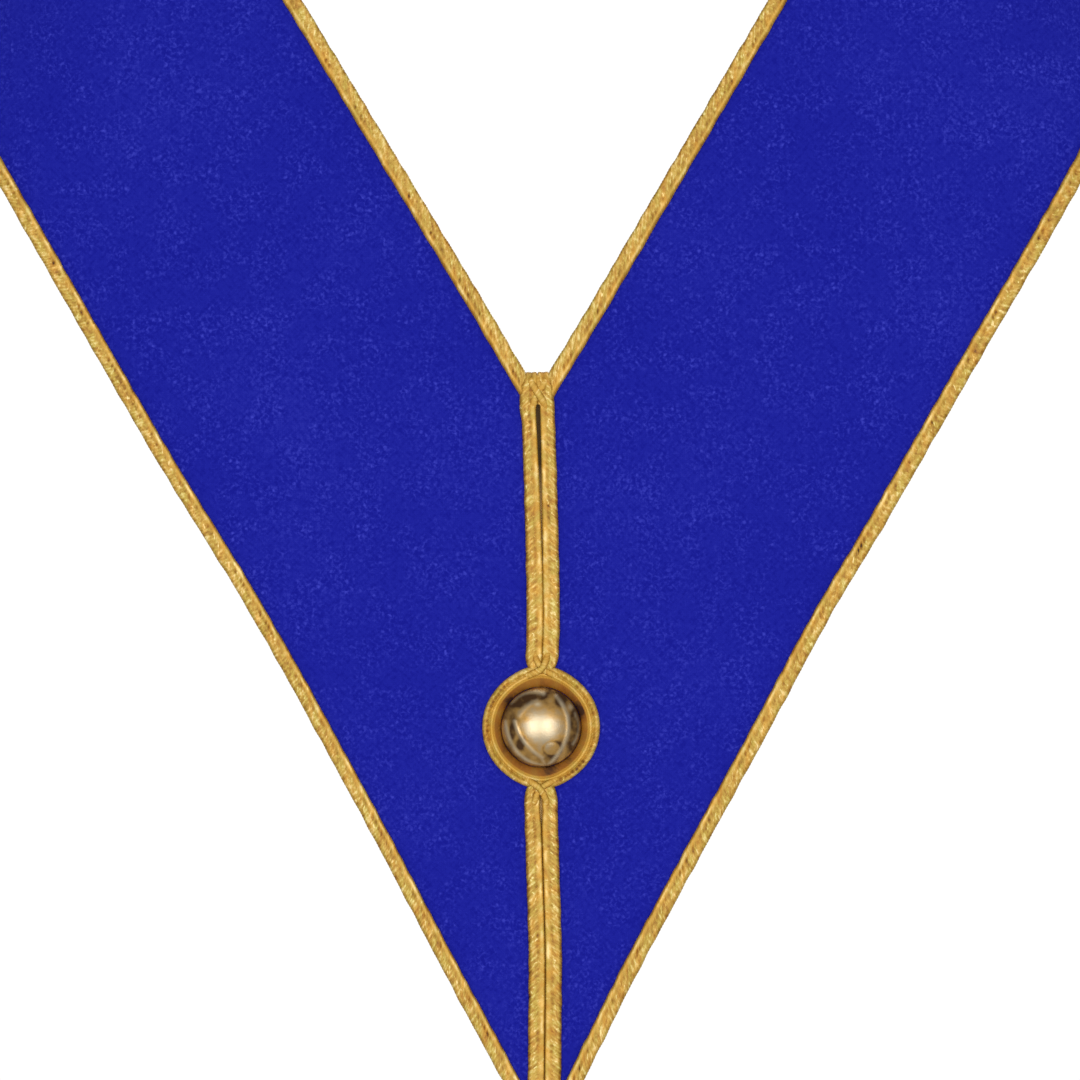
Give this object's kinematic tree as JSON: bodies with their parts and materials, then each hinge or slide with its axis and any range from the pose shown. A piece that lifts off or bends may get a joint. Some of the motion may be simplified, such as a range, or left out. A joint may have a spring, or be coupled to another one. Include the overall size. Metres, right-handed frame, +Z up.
{
  "type": "ceremonial ribbon collar",
  "caption": "Worn V-shaped neck collar of wide ribbon edged with gold braid, with a ringed dome button and a jewel hook at the point.",
  "frame": {"origin": "middle of the collar's inner edge at the nape, on the inner face of the cloth, where the collar sits on the wearer's neck", "axes": "+Z up, the front with the V and the button faces -Y, +X to the right as seen from the front"},
  "size_m": [0.3622, 0.1595, 0.4759],
  "materials": {
    "ribbon_cloth": "royal blue fine woven cloth, matt",
    "gold_braid": "gold metal-thread braid, soft metallic sheen",
    "gilt_metal": "polished gilt"
  },
  "bodies": {
    "root": {"ribbon_left": "ribbon_cloth", "ribbon_right": "ribbon_cloth", "outer_braid_left": "gold_braid", "outer_braid_right": "gold_braid", "inner_braid_left": "gold_braid", "inner_braid_right": "gold_braid", "centre_braid_upper_left": "gold_braid", "centre_braid_upper_right": "gold_braid", "centre_braid_lower_left": "gold_braid", "centre_braid_lower_right": "gold_braid", "button_ring_braid": "gold_braid", "button": "gilt_metal", "jewel_hook": "gilt_metal"}
  },
  "joints": []
}
